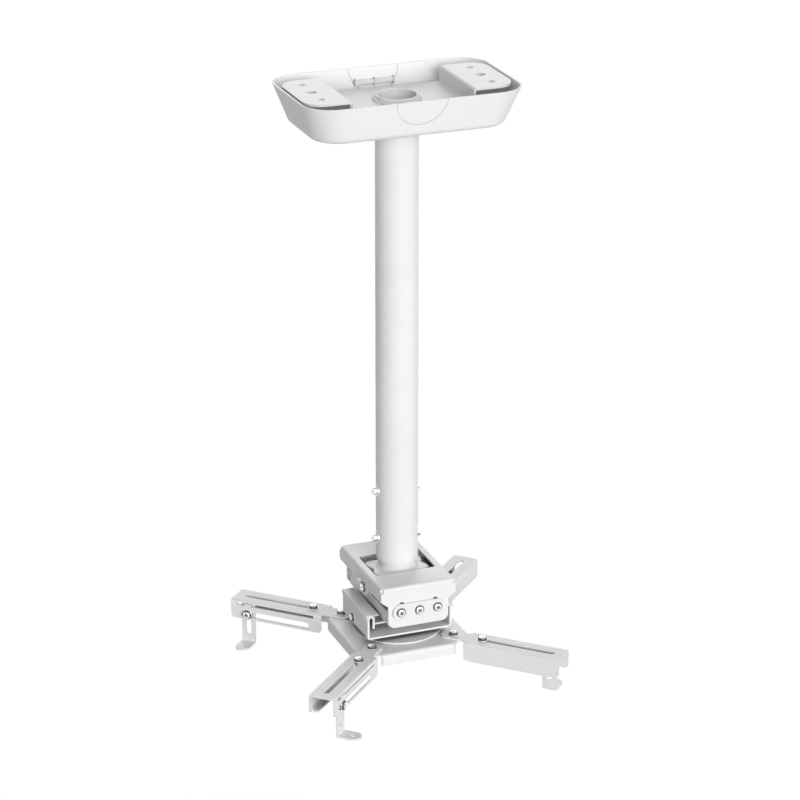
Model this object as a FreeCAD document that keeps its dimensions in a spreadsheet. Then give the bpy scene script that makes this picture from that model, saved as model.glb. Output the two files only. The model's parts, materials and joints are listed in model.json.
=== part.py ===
"""Projector ceiling mount: ceiling plate and cover, two-tube pole, tilt and roll head, turning
hub with four swinging arms, and a sliding foot on each arm.

Millimetres. The origin is the middle of the ceiling face, +Z is up, and the mount hangs below it.
The arms reach out along the diagonals, and -Y is the front.
"""
import FreeCAD, Part
import math
import os
from types import SimpleNamespace
import Sketcher
from FreeCAD import Placement, Rotation, Vector

# Depths are measured down from the ceiling, halves and radii from the axis that they belong to. Drops and
# rises are measured from the piece above, so that the head hangs together when a size changes.
SIZES = {
    # Ceiling plate, a folded hat section
    "plate_gauge": 3.0, "plate_half_y": 52.0, "flange_in": 72.0, "flange_out": 125.0, "plate_bend": 4.0,
    "floor_depth": 18.0, "flange_corner": 22.0, "ceiling_hole": 8.5, "ceiling_middle_hole": 12.0,
    "ceiling_hole_x": 102.0, "ceiling_hole_y": 32.0,
    # Ceiling cover, a moulded tray with a scored knock-out for cables front and back
    "cover_half_x": 131.0, "cover_half_y": 80.0, "cover_corner": 35.0, "cover_depth": 45.0,
    "cover_inset": 15.0, "cover_wall": 2.5, "cover_edge": 9.0, "cover_pole_gap": 0.4,
    "score_r": 31.0, "score_width": 1.0, "score_depth": 0.7,
    "ledge_half": 25.0, "ledge_drop": 18.0, "ledge_height": 5.0, "ledge_depth": 4.0, "ledge_rib": 1.6,
    # Pole
    "pole_od": 50.0, "pole_wall": 2.5, "pole_top": 12.5, "pole_bottom": 582.0, "tube_fit": 0.35,
    "tube_edge": 0.6, "inner_wall": 2.5, "inner_lap": 296.0, "pole_bolt": 8.4, "bolt_rise": 28.0,
    "bolt_pitch": 60.0, "weld_width": 3.5, "weld_height": 3.2, "weld_gap": 0.05,
    # Tilt head
    "gauge": 2.5, "bend": 3.2, "face_gap": 0.5, "bracket_drop": 18.0, "bracket_half_y": 25.0,
    "bracket_slot_x": 32.0, "bracket_slot_half": 4.0, "bracket_slot_r": 4.0, "ear_r": 10.5,
    "tilt_drop": 8.0, "tilt_pin_r": 4.0, "tilt_head_r": 7.0, "tilt_head": 3.5, "pin_fit": 0.05,
    "pin_end": 1.0, "pin_edge": 1.2,
    "frame_half_x": 47.0, "frame_half_y": 70.0, "frame_rise": 10.5, "window_x": 38.0, "window_y": 30.0,
    "window_corner": 4.0, "side_height": 17.5, "ear_half": 30.0, "ear_slope": 14.0, "ear_drop": 11.0,
    "front_height": 51.5, "shoulder": 16.5, "waist": 23.5, "waist_half": 38.0, "front_corner": 9.0,
    "relief_r": 3.6, "relief_depth": 5.5, "relief_gap": 0.8,
    "lock_r": 15.5, "lock_slot_r": 2.8, "lock_sweep": 14.0, "lock_hole_r": 2.6,
    # Roll head
    "roll_drop": 13.0, "roll_pin_r": 3.0, "roll_head_r": 4.6, "roll_head": 1.8,
    "roll_screw_x": 23.0, "roll_slot_r": 2.8, "roll_sweep_up": 24.0, "roll_sweep_down": 14.0,
    "roll_screw_hole_r": 2.6,
    "clamp_half": 33.0, "clamp_r": 10.0, "clamp_gauge": 2.5, "clamp_edge": 0.8,
    "roll_half_x": 36.0, "roll_end_rise": 15.0, "roll_side_drop": 2.0, "roll_floor_drop": 20.0,
    "roll_corner": 10.0,
    "roll_foot_half": 26.0, "roll_foot_height": 12.0, "roll_foot_gap": 1.0,
    # Slide plate and rail tray
    "slide_half_y": 26.0, "spacer_half": 20.0, "spacer_corner": 4.0, "spacer_height": 11.0,
    "hook_rise": 13.5, "rail_gap": 0.5,
    "tray_half_x": 53.5, "tray_half_y": 42.0, "tray_room": 8.5, "rail_width": 9.0, "tray_screw_r": 2.6,
    "tray_screw_y": 12.0, "tray_screw_rise": 8.0,
    # Turning hub
    "disc_r": 54.0, "disc_gauge": 2.0, "disc_gap": 0.3, "disc_edge": 0.7, "boss_r": 24.0,
    "boss_height": 5.7, "swivel_r": 8.0, "swivel_nut_r": 16.0, "swivel_nut": 5.0, "hub_half": 72.0,
    "hub_side": 45.0, "hub_skirt": 14.0, "hub_bend": 4.5,
    # Arms
    "arm_gauge": 2.0, "arm_pivot_x": 52.0, "arm_half": 16.5, "arm_tongue": 15.0, "arm_tongue_half": 10.0,
    "arm_tongue_r": 9.0, "arm_length": 141.0, "arm_skirt_from": 19.5, "arm_skirt": 23.5,
    "arm_skirt_corner": 5.0, "arm_slot_from": 34.0, "arm_slot_to": 126.0, "arm_slot_r": 3.25,
    "tab_slot_from": 30.0, "tab_slot_to": 132.0, "tab_slot_drop": 2.2, "tab_slot_height": 3.8,
    "foot_slot_from": 40.0, "foot_slot_to": 124.5, "foot_slot_drop": 16.6, "foot_slot_r": 3.8,
    "arm_pin_r": 3.0, "arm_head_r": 5.2, "arm_head": 3.2, "arm_head_edge": 2.3, "arm_pin_end": 3.0,
    # Feet
    "foot_at": 118.5, "foot_gauge": 2.5, "foot_half": 9.0, "foot_gap": 0.3, "foot_drop": 55.5,
    "foot_reach": 25.0, "foot_toe_r": 8.8, "foot_hole": 6.6, "foot_hole_out": 16.0,
    "tab_gap": 0.5, "tab_half": 5.0, "tab_proud": 0.8, "foot_window_r": 3.4, "foot_window_top": 12.0,
    "foot_window_rise": 15.0,
}
PLANES = {"XY": ("XY_Plane", 1), "XZ": ("XZ_Plane", -1), "YZ": ("YZ_Plane", 1)}

class Length:
    """A number together with the sheet expression that gives it."""

    def __init__(self, number, text=None):
        self.number = float(number)
        self.text = text or f"({number})"

    def __add__(self, other):
        other = as_length(other)
        return Length(self.number + other.number, f"({self.text} + {other.text})")

    def __sub__(self, other):
        other = as_length(other)
        return Length(self.number - other.number, f"({self.text} - {other.text})")

    def __mul__(self, other):
        other = as_length(other)
        return Length(self.number * other.number, f"({self.text} * {other.text})")

    def __truediv__(self, other):
        other = as_length(other)
        return Length(self.number / other.number, f"({self.text} / {other.text})")

    def __rmul__(self, other):
        return as_length(other) * self

    def __neg__(self):
        return -1 * self


def as_length(item):
    return item if isinstance(item, Length) else Length(item)


def number(item):
    return as_length(item).number


def text(item):
    return as_length(item).text


def point(x, y):
    return Vector(number(x), number(y), 0)


def cosine(angle):
    return Length(math.cos(math.radians(angle.number)), f"cos({angle.text} * 1 deg)")


def sine(angle):
    return Length(math.sin(math.radians(angle.number)), f"sin({angle.text} * 1 deg)")


def in_order(one, other):
    """Two levels, the lower one first."""
    return sorted((one, other), key=number)


doc = FreeCAD.newDocument("projector_mount")
sheet = doc.addObject("Spreadsheet::Sheet", "Sizes")
for row, (alias, size) in enumerate(SIZES.items(), start=1):
    sheet.set(f"A{row}", alias)
    sheet.set(f"B{row}", str(size))
    sheet.setAlias(f"B{row}", alias)
doc.recompute()
s = SimpleNamespace(**{alias: Length(size, "Sizes." + alias) for alias, size in SIZES.items()})


def new_body(name, place=None):
    """Start a sub-part. Its place, if it has one, is a turn about Z in degrees and a place in X and Y."""
    body = doc.addObject("PartDesign::Body", name)
    body.Label = name
    if place:
        turn, x, y = place
        body.Placement = Placement(point(x, y), Rotation(Vector(0, 0, 1), turn))
        body.setExpression("Placement.Base.x", text(x))
        body.setExpression("Placement.Base.y", text(y))
    return body


def sketch_on(body, plane, level, rise=None):
    """Put an empty sketch on one of the body's own planes, at a level along that plane's axis.

    A rise, as a pair of lengths out and up, leans the sketch back to lie along a sloping wall.
    """
    role, sign = PLANES[plane]
    support = next(item for item in body.Origin.OriginFeatures if item.Role == role)
    sketch = body.newObject("Sketcher::SketchObject", body.Name + "_sketch")
    sketch.AttachmentSupport = (support, [""])
    sketch.MapMode = "FlatFace"
    offset = as_length(level) * sign
    lean = Rotation()
    if rise:
        slope = rise[0] / rise[1]
        lean = Rotation(Vector(1, 0, 0), math.degrees(math.atan(slope.number)))
    sketch.AttachmentOffset = Placement(Vector(0, 0, offset.number), lean)
    sketch.setExpression("AttachmentOffset.Base.z", offset.text)
    return sketch


def pin_point(sketch, geometry, end, x, y):
    """Hold a point of the sketch at a place bound to the sheet."""
    for kind, place in (("DistanceX", x), ("DistanceY", y)):
        index = sketch.addConstraint(
            Sketcher.Constraint(kind, -1, 1, geometry, end, number(place)))
        sketch.setExpression(f"Constraints[{index}]", text(place))


def set_radius(sketch, geometry, radius):
    index = sketch.addConstraint(Sketcher.Constraint("Radius", geometry, number(radius)))
    sketch.setExpression(f"Constraints[{index}]", text(radius))


def polygon(*corners):
    def draw(sketch):
        first = sketch.GeometryCount
        points = [point(x, y) for x, y in corners]
        count = len(points)
        for index, corner in enumerate(points):
            sketch.addGeometry(Part.LineSegment(corner, points[(index + 1) % count]))
        for index, (x, y) in enumerate(corners):
            following = first + (index + 1) % count
            sketch.addConstraint(Sketcher.Constraint("Coincident", first + index, 2, following, 1))
            pin_point(sketch, first + index, 1, x, y)
    return draw


def rectangle(x_low, x_high, y_low, y_high):
    return polygon((x_low, y_low), (x_high, y_low), (x_high, y_high), (x_low, y_high))


def circle(radius, x=0, y=0):
    def draw(sketch):
        index = sketch.addGeometry(Part.Circle(point(x, y), Vector(0, 0, 1), number(radius)))
        pin_point(sketch, index, 3, x, y)
        set_radius(sketch, index, radius)
    return draw


def rounded(centres, radius):
    """An outline of equal arcs round the given centres, anticlockwise, joined by tangent lines."""
    def draw(sketch):
        first = sketch.GeometryCount
        points = [point(x, y) for x, y in centres]
        count = len(points)
        size = number(radius)
        out = []
        for index, centre in enumerate(points):
            along = points[(index + 1) % count] - centre
            out.append(Vector(along.y, -along.x, 0).normalize() * size)
        for index, centre in enumerate(points):
            before, after = out[index - 1], out[index]
            middle = Vector(-before.y, before.x, 0) if count == 2 else (before + after).normalize() * size
            sketch.addGeometry(Part.Arc(centre + before, centre + middle, centre + after))
        for index, centre in enumerate(points):
            following = points[(index + 1) % count]
            sketch.addGeometry(Part.LineSegment(centre + out[index], following + out[index]))
        for index, (x, y) in enumerate(centres):
            pin_point(sketch, first + index, 3, x, y)
        set_radius(sketch, first, radius)
        for index in range(count):
            arc, line = first + index, first + count + index
            following = first + (index + 1) % count
            if index:
                sketch.addConstraint(Sketcher.Constraint("Equal", first, arc))
            sketch.addConstraint(Sketcher.Constraint("Tangent", arc, 2, line, 1))
            sketch.addConstraint(Sketcher.Constraint("Tangent", line, 2, following, 1))
    return draw


def slot(x_from, y_from, x_to, y_to, radius):
    return rounded([(x_from, y_from), (x_to, y_to)], radius)


def rounded_rectangle(half_x, half_y, radius):
    x, y = half_x - radius, half_y - radius
    return rounded([(x, y), (-x, y), (-x, -y), (x, -y)], radius)


def extrude(kind, body, plane, low, high, *drawings, rise=None):
    """Add or take away the drawn outlines between two levels along the plane's axis."""
    sketch = sketch_on(body, plane, (as_length(low) + high) / 2, rise)
    for draw in drawings:
        draw(sketch)
    feature = body.newObject("PartDesign::" + kind, f"{body.Name}_{kind.lower()}")
    feature.Profile = sketch
    feature.SideType = "Symmetric"
    feature.setExpression("Length", (as_length(high) - low).text)
    doc.recompute()
    return feature


def pad(body, plane, low, high, *drawings):
    return extrude("Pad", body, plane, low, high, *drawings)


def must_cut(body, before):
    if body.Shape.Volume > before - 1e-3:
        raise RuntimeError(f"{body.Label}: {body.Tip.Name} takes nothing away")


def pocket(body, plane, low, high, *drawings, rise=None):
    before = body.Shape.Volume
    feature = extrude("Pocket", body, plane, low, high, *drawings, rise=rise)
    must_cut(body, before)
    return feature


def arc_slot(body, level, axis, sweeps, outline):
    """Cut a curved slot, without its round ends, by turning an outline both ways from a level plane."""
    for sweep, backward in zip(sweeps, (False, True)):
        before = body.Shape.Volume
        sketch = sketch_on(body, "XY", level)
        outline(sketch)
        feature = body.newObject("PartDesign::Groove", body.Name + "_groove")
        feature.Profile = sketch
        feature.ReferenceAxis = (sketch, [axis])
        feature.Reversed = backward
        feature.setExpression("Angle", sweep.text)
        doc.recompute()
        must_cut(body, before)


def fillet(body, radius, wanted):
    """Round the edges of the body that the given test picks."""
    base = body.Tip
    edges = [f"Edge{index}" for index, edge in enumerate(base.Shape.Edges, start=1) if wanted(edge)]
    if not edges:
        raise RuntimeError(f"{body.Label}: no edge to round")
    feature = body.newObject("PartDesign::Fillet", body.Name + "_fillet")
    feature.Base = (base, edges)
    feature.setExpression("Radius", text(radius))
    doc.recompute()
    return feature


def runs_along(edge, axis):
    """Whether an edge is a straight one along the X, Y or Z axis."""
    if not isinstance(edge.Curve, Part.Line):
        return False
    return abs(getattr(edge.Curve.Direction, axis)) > 0.999


def at_level(edge, axis, level, slack=0.01):
    """Whether both ends of an edge lie at a level along an axis."""
    return all(abs(getattr(vertex.Point, axis) - number(level)) < slack for vertex in edge.Vertexes)


# Ceiling plate and cover

PLATE_UNDER = -s.floor_depth - s.plate_gauge
POLE_R = s.pole_od / 2


def ceiling_plate():
    body = new_body("ceiling_plate")
    riser = s.flange_in + s.plate_gauge
    right = [(s.flange_in, -s.floor_depth), (s.flange_in, 0), (s.flange_out, 0),
             (s.flange_out, -s.plate_gauge), (riser, -s.plate_gauge), (riser, PLATE_UNDER)]
    left = [(-x, as_length(z)) for x, z in reversed(right)]
    pad(body, "XZ", -s.plate_half_y, s.plate_half_y, polygon(*right, *left))
    fillet(body, s.flange_corner,
           lambda edge: runs_along(edge, "z") and abs(edge.CenterOfMass.x) > s.flange_out.number - 0.1)
    outer = [(s.flange_in, 0), (riser, PLATE_UNDER)]
    inner = [(s.flange_in, -s.floor_depth), (riser, -s.plate_gauge)]
    for corners, radius in ((outer, s.plate_bend), (inner, s.plate_bend - s.plate_gauge)):
        fillet(body, radius, lambda edge: runs_along(edge, "y") and any(
            at_level(edge, "x", side * x) and at_level(edge, "z", z)
            for x, z in corners for side in (-1, 1)))
    holes = [circle(s.ceiling_middle_hole / 2, side * s.ceiling_hole_x) for side in (-1, 1)]
    for side in (-1, 1):
        for end in (-1, 1):
            holes.append(circle(s.ceiling_hole / 2, side * s.ceiling_hole_x, end * s.ceiling_hole_y))
    pocket(body, "XY", -s.plate_gauge, 0, *holes)
    pocket(body, "XY", PLATE_UNDER, -s.floor_depth, circle(POLE_R + s.weld_gap))
    return body


def cover_loft(body, kind, bottom, inset):
    """Loft between the rim outline and the smaller floor outline, both drawn in by an inset."""
    sketches = []
    for level, shrink in ((0, inset), (bottom, s.cover_inset + inset)):
        sketch = sketch_on(body, "XY", level)
        rounded_rectangle(s.cover_half_x - shrink, s.cover_half_y - shrink, s.cover_corner - inset)(sketch)
        sketches.append(sketch)
    feature = body.newObject(f"PartDesign::{kind}Loft", f"cover_{kind.lower()}")
    feature.Profile = sketches[0]
    feature.Sections = sketches[1:]
    feature.Ruled = True
    doc.recompute()


def ceiling_cover():
    body = new_body("ceiling_cover")
    floor = -s.cover_depth + s.cover_wall
    cover_loft(body, "Additive", -s.cover_depth, 0)
    fillet(body, s.cover_edge, lambda edge: at_level(edge, "z", -s.cover_depth))
    cover_loft(body, "Subtractive", floor, s.cover_wall)
    fillet(body, s.cover_edge - s.cover_wall, lambda edge: at_level(edge, "z", floor))
    pocket(body, "XY", -s.cover_depth, floor, circle(POLE_R + s.cover_pole_gap))
    ring = (circle(s.score_r), circle(s.score_r - s.score_width))
    for end in (-1, 1):
        for face, height in ((s.cover_half_y, s.cover_depth), (s.cover_half_y - s.cover_wall, -floor)):
            pocket(body, "XZ", end * face - s.score_depth, end * face + s.score_depth, *ring,
                   rise=(-end * s.cover_inset, height))
        cover_ledge(body, end)
    return body


def cover_ledge(body, end):
    """Ledge across a knock-out on the inside of the wall, with three upright ribs."""
    low, high = -s.ledge_drop, -s.ledge_drop + s.ledge_height
    wall = s.cover_half_y - s.cover_wall / 2 - s.cover_inset * s.ledge_drop / s.cover_depth
    face = wall - s.ledge_depth
    pad(body, "XZ", *in_order(end * face, end * wall), rectangle(-s.ledge_half, s.ledge_half, low, high))
    ribs = [rectangle(x - s.ledge_rib / 2, x + s.ledge_rib / 2, low - s.ledge_rib, high + s.ledge_rib)
            for x in (-s.ledge_half + s.ledge_rib, as_length(0), s.ledge_half - s.ledge_rib)]
    pad(body, "XZ", *in_order(end * (face - s.ledge_rib), end * wall), *ribs)


# Pole

INNER_R = POLE_R - s.pole_wall - s.tube_fit
INNER_STEPS = 5
BRACKET_TOP = -s.pole_bottom - s.bracket_drop


def tube(body, low, high, radius, wall):
    pad(body, "XY", low, high, circle(radius), circle(radius - wall))
    fillet(body, s.tube_edge, lambda edge: at_level(edge, "z", low) or at_level(edge, "z", high))


def bolt_holes(body, radius, steps):
    """Cross holes for the pole bolts, one pitch apart, from the lower bolt up."""
    holes = [circle(s.pole_bolt / 2, 0, -s.pole_bottom + s.bolt_rise + step * s.bolt_pitch)
             for step in range(steps)]
    pocket(body, "YZ", -radius, radius, *holes)


def outer_pole():
    body = new_body("outer_pole")
    tube(body, -s.pole_bottom, -s.pole_top, POLE_R, s.pole_wall)
    bolt_holes(body, POLE_R, 2)
    return body


def weld_bead(name, level, radius):
    """Ring of weld round a tube where it stands on a plate."""
    body = new_body(name)
    bore = radius + s.weld_gap
    top = level + s.weld_height
    pad(body, "XY", level, top, circle(bore + s.weld_width), circle(bore))
    fillet(body, s.weld_height - s.weld_gap, lambda edge: at_level(edge, "z", top)
           and edge.Curve.Radius > number(bore) + 0.1)
    return body


def inner_pole():
    """Lower tube, with a row of bolt holes that sets the mount's drop."""
    body = new_body("inner_pole")
    tube(body, BRACKET_TOP, -s.pole_bottom + s.inner_lap, INNER_R, s.inner_wall)
    bolt_holes(body, INNER_R, INNER_STEPS)
    return body


# Tilt head

BRACKET_UNDER = BRACKET_TOP - s.plate_gauge
TILT = BRACKET_TOP - s.tilt_drop
FRAME_TOP = BRACKET_TOP + s.frame_rise
FRAME_UNDER = FRAME_TOP - s.gauge
FRONT_LOW = FRAME_TOP - s.front_height
ROLL = TILT - s.roll_drop
EAR_OUT = s.frame_half_x - s.gauge - s.face_gap


def pole_bracket():
    """Saddle on the end of the lower tube, with an ear each side for the tilt pins."""
    body = new_body("pole_bracket")
    inside = EAR_OUT - s.plate_gauge
    low = TILT - s.ear_r
    pad(body, "XZ", -s.bracket_half_y, s.bracket_half_y, polygon(
        (-EAR_OUT, low), (-inside, low), (-inside, BRACKET_UNDER), (inside, BRACKET_UNDER),
        (inside, low), (EAR_OUT, low), (EAR_OUT, BRACKET_TOP), (-EAR_OUT, BRACKET_TOP)))
    fillet(body, s.ear_r, lambda edge: runs_along(edge, "x") and at_level(edge, "z", low))
    fillet(body, s.plate_bend, lambda edge: runs_along(edge, "y") and at_level(edge, "z", BRACKET_TOP))
    pocket(body, "XY", BRACKET_UNDER, BRACKET_TOP, circle(INNER_R - s.inner_wall),
           *[slot(side * s.bracket_slot_x, -s.bracket_slot_half, side * s.bracket_slot_x,
                  s.bracket_slot_half, s.bracket_slot_r) for side in (-1, 1)])
    pocket(body, "YZ", -EAR_OUT, EAR_OUT, circle(s.tilt_pin_r + s.pin_fit, 0, TILT),
           circle(s.lock_hole_r, -s.lock_r, TILT))
    return body


def tilt_frame():
    """Folded frame round the pole: short sides that tilt, deep ends that carry the roll."""
    body = new_body("tilt_frame")
    half_x, half_y = s.frame_half_x, s.frame_half_y
    inside_x, inside_y = half_x - s.gauge, half_y - s.gauge
    pad(body, "XY", FRONT_LOW, FRAME_TOP, rectangle(-half_x, half_x, -half_y, half_y))
    fillet(body, s.bend, lambda edge: at_level(edge, "z", FRAME_TOP))
    pocket(body, "XY", FRONT_LOW, FRAME_UNDER, rectangle(-inside_x, inside_x, -inside_y, inside_y))
    fillet(body, s.bend - s.gauge, lambda edge: at_level(edge, "z", FRAME_UNDER))
    pocket(body, "XY", FRAME_UNDER, FRAME_TOP, rounded_rectangle(s.window_x, s.window_y, s.window_corner))
    side_low, ear_low = FRAME_TOP - s.side_height, TILT - s.ear_drop
    for side in (-1, 1):
        pocket(body, "YZ", -half_x, half_x, polygon(
            (side * inside_y, FRONT_LOW), (side * inside_y, side_low), (side * s.ear_half, side_low),
            (side * (s.ear_half - s.ear_slope), ear_low), (0, ear_low), (0, FRONT_LOW)))
    shoulder, waist = FRAME_TOP - s.shoulder, FRAME_TOP - s.waist
    for end in (-1, 1):
        for side in (-1, 1):
            pocket(body, "XZ", *in_order(end * half_y, end * inside_y), polygon(
                (side * half_x, FRONT_LOW), (side * half_x, shoulder), (side * s.waist_half, waist),
                (side * s.waist_half, FRONT_LOW)))
    fillet(body, s.front_corner, lambda edge: runs_along(edge, "y") and at_level(edge, "z", FRONT_LOW))
    corners = [(side * half_x, end * half_y) for side in (-1, 1) for end in (-1, 1)]
    relief = FRAME_TOP - s.relief_depth
    pocket(body, "XY", relief, FRAME_TOP, *[circle(s.relief_r, x, y) for x, y in corners])
    for end in (-1, 1):
        ends = in_order(end * inside_y, end * (inside_y - s.relief_gap))
        for side in (-1, 1):
            pocket(body, "XY", side_low, relief,
                   rectangle(*in_order(side * inside_x, side * half_x), *ends))
    pocket(body, "YZ", -half_x, half_x, circle(s.tilt_pin_r + s.pin_fit, 0, TILT))
    pocket(body, "XZ", -half_y, half_y, circle(s.roll_pin_r + s.pin_fit, 0, ROLL))
    arc_slot(body, TILT, "H_Axis", (s.lock_sweep, s.lock_sweep),
             rectangle(-half_x, half_x, -s.lock_r - s.lock_slot_r, -s.lock_r + s.lock_slot_r))
    pocket(body, "YZ", -half_x, half_x, *[
        circle(s.lock_slot_r, -s.lock_r * cosine(s.lock_sweep), TILT + way * s.lock_r * sine(s.lock_sweep))
        for way in (-1, 1)])
    up, down = s.roll_sweep_up, s.roll_sweep_down
    for side in (-1, 1):
        edges = in_order(side * (s.roll_screw_x - s.roll_slot_r), side * (s.roll_screw_x + s.roll_slot_r))
        arc_slot(body, ROLL, "V_Axis", (up, down) if side < 0 else (down, up),
                 rectangle(*edges, -half_y, half_y))
    pocket(body, "XZ", -half_y, half_y, *[
        circle(s.roll_slot_r, side * s.roll_screw_x * cosine(sweep),
               ROLL + s.roll_screw_x * sine(sweep) * way)
        for side in (-1, 1) for way, sweep in ((1, up), (-1, down))])
    return body


def headed_pin(name, plane, side, inner, outer, radius, head_radius, head, level):
    """Pin along X or Y through a wall, with its head outside."""
    body = new_body(name)
    pad(body, plane, *in_order(side * inner, side * outer), circle(radius, 0, level))
    tip = side * (outer + head)
    pad(body, plane, *in_order(side * outer, tip), circle(head_radius, 0, level))
    fillet(body, s.pin_edge, lambda edge: at_level(edge, "x" if plane == "YZ" else "y", tip))
    return body


def tilt_pin(name, side):
    return headed_pin(name, "YZ", side, EAR_OUT - s.plate_gauge - s.pin_end, s.frame_half_x + s.pin_fit,
                      s.tilt_pin_r, s.tilt_head_r, s.tilt_head, TILT)


# Roll head

ROLL_END = s.frame_half_y - s.gauge - s.face_gap
ROLL_FLOOR = ROLL - s.roll_floor_drop
CLAMP_FACE = s.frame_half_y + s.face_gap
CLAMP_OUT = CLAMP_FACE + s.clamp_gauge


def roll_bracket():
    """Open box inside the tilt frame; its ends turn on the roll pins."""
    body = new_body("roll_bracket")
    top = ROLL + s.roll_end_rise
    inside_x, inside_y = s.roll_half_x - s.gauge, ROLL_END - s.gauge
    pad(body, "XY", ROLL_FLOOR, top, rectangle(-s.roll_half_x, s.roll_half_x, -ROLL_END, ROLL_END))
    fillet(body, s.bend, lambda edge: at_level(edge, "z", ROLL_FLOOR))
    pocket(body, "XY", ROLL_FLOOR + s.gauge, top, rectangle(-inside_x, inside_x, -inside_y, inside_y))
    pocket(body, "YZ", -s.roll_half_x, s.roll_half_x,
           rectangle(-inside_y, inside_y, ROLL - s.roll_side_drop, top))
    fillet(body, s.roll_corner, lambda edge: runs_along(edge, "y") and at_level(edge, "z", top))
    for end in (-1, 1):
        ends = in_order(end * (inside_y - s.roll_foot_gap), end * ROLL_END)
        pocket(body, "XY", ROLL_FLOOR, ROLL_FLOOR + s.roll_foot_height, *[
            rectangle(*in_order(side * s.roll_foot_half, side * s.roll_half_x), *ends) for side in (-1, 1)])
    pocket(body, "XZ", -ROLL_END, ROLL_END, circle(s.roll_pin_r + s.pin_fit, 0, ROLL),
           *[circle(s.roll_screw_hole_r, side * s.roll_screw_x, ROLL) for side in (-1, 1)])
    return body


def roll_clamp(name, end):
    """Oval plate outside the frame that the roll screws draw against it."""
    body = new_body(name)
    faces = in_order(end * CLAMP_FACE, end * CLAMP_OUT)
    reach = s.clamp_half - s.clamp_r
    pad(body, "XZ", *faces, slot(-reach, ROLL, reach, ROLL, s.clamp_r))
    fillet(body, s.clamp_edge, lambda edge: at_level(edge, "y", end * CLAMP_OUT))
    pocket(body, "XZ", *faces, circle(s.roll_pin_r + s.pin_fit, 0, ROLL),
           *[circle(s.roll_screw_hole_r, side * s.roll_screw_x, ROLL) for side in (-1, 1)])
    return body


def roll_pin(name, end):
    return headed_pin(name, "XZ", end, ROLL_END - s.gauge - s.pin_end, CLAMP_OUT, s.roll_pin_r,
                      s.roll_head_r, s.roll_head, ROLL)


SLIDE_TOP = ROLL_FLOOR - s.spacer_height
SLIDE_UNDER = SLIDE_TOP - s.gauge
HOOK_OUT = s.tray_half_x - s.gauge - s.rail_gap
HOOK_TOP = SLIDE_TOP + s.hook_rise
TRAY_TOP = HOOK_TOP + s.rail_gap + s.gauge
TRAY_UNDER = SLIDE_UNDER - s.tray_room - s.gauge


def slide_plate():
    """Plate spaced below the roll bracket, with turned-up edges that the tray's rails hang on."""
    body = new_body("slide_plate")
    inner = HOOK_OUT - s.gauge
    pad(body, "XZ", -s.slide_half_y, s.slide_half_y, polygon(
        (-HOOK_OUT, SLIDE_UNDER), (HOOK_OUT, SLIDE_UNDER), (HOOK_OUT, HOOK_TOP), (inner, HOOK_TOP),
        (inner, SLIDE_TOP), (-inner, SLIDE_TOP), (-inner, HOOK_TOP), (-HOOK_OUT, HOOK_TOP)))
    fillet(body, s.bend, lambda edge: runs_along(edge, "y") and at_level(edge, "z", SLIDE_UNDER))
    pad(body, "XY", SLIDE_TOP, ROLL_FLOOR, rounded_rectangle(s.spacer_half, s.spacer_half, s.spacer_corner))
    return body


def rail_tray():
    """Lower channel whose folded-over edges slide on the slide plate."""
    body = new_body("rail_tray")
    wall, half = s.tray_half_x - s.gauge, s.tray_half_x
    lip_in = half - s.rail_width
    lip_out = lip_in + s.gauge
    lip_low = SLIDE_TOP + s.rail_gap
    right = [(lip_in, TRAY_TOP), (lip_in, lip_low), (lip_out, lip_low), (lip_out, TRAY_TOP - s.gauge),
             (wall, TRAY_TOP - s.gauge), (wall, TRAY_UNDER + s.gauge)]
    outside = [(-half, TRAY_TOP), (-half, TRAY_UNDER), (half, TRAY_UNDER), (half, TRAY_TOP)]
    left = [(-x, z) for x, z in reversed(right)]
    pad(body, "XZ", -s.tray_half_y, s.tray_half_y, polygon(*outside, *right, *left))
    fillet(body, s.bend, lambda edge: runs_along(edge, "y") and (
        at_level(edge, "z", TRAY_TOP) or at_level(edge, "z", TRAY_UNDER)))
    pocket(body, "YZ", -half, -wall, circle(s.tray_screw_r, s.tray_screw_y, TRAY_UNDER + s.tray_screw_rise))
    return body


# Turning hub

DISC_TOP = TRAY_UNDER - s.boss_height
DISC_UNDER = DISC_TOP - s.disc_gauge
HUB_TOP = DISC_UNDER - s.disc_gap
HUB_UNDER = HUB_TOP - s.gauge


def swivel_disc():
    """Fixed disc under the tray that the hub turns against."""
    body = new_body("swivel_disc")
    pad(body, "XY", DISC_UNDER, DISC_TOP, circle(s.disc_r))
    fillet(body, s.disc_edge, lambda edge: at_level(edge, "z", DISC_TOP))
    pad(body, "XY", DISC_TOP, TRAY_UNDER, circle(s.boss_r))
    pocket(body, "XY", DISC_UNDER, TRAY_UNDER, circle(s.swivel_r + s.pin_fit))
    return body


def swivel_pin():
    body = new_body("swivel_pin")
    nut_top = HUB_UNDER - s.disc_gap
    pad(body, "XY", nut_top, TRAY_UNDER, circle(s.swivel_r))
    pad(body, "XY", nut_top - s.swivel_nut, nut_top, circle(s.swivel_nut_r))
    fillet(body, s.pin_edge, lambda edge: at_level(edge, "z", nut_top - s.swivel_nut))
    return body


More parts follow.
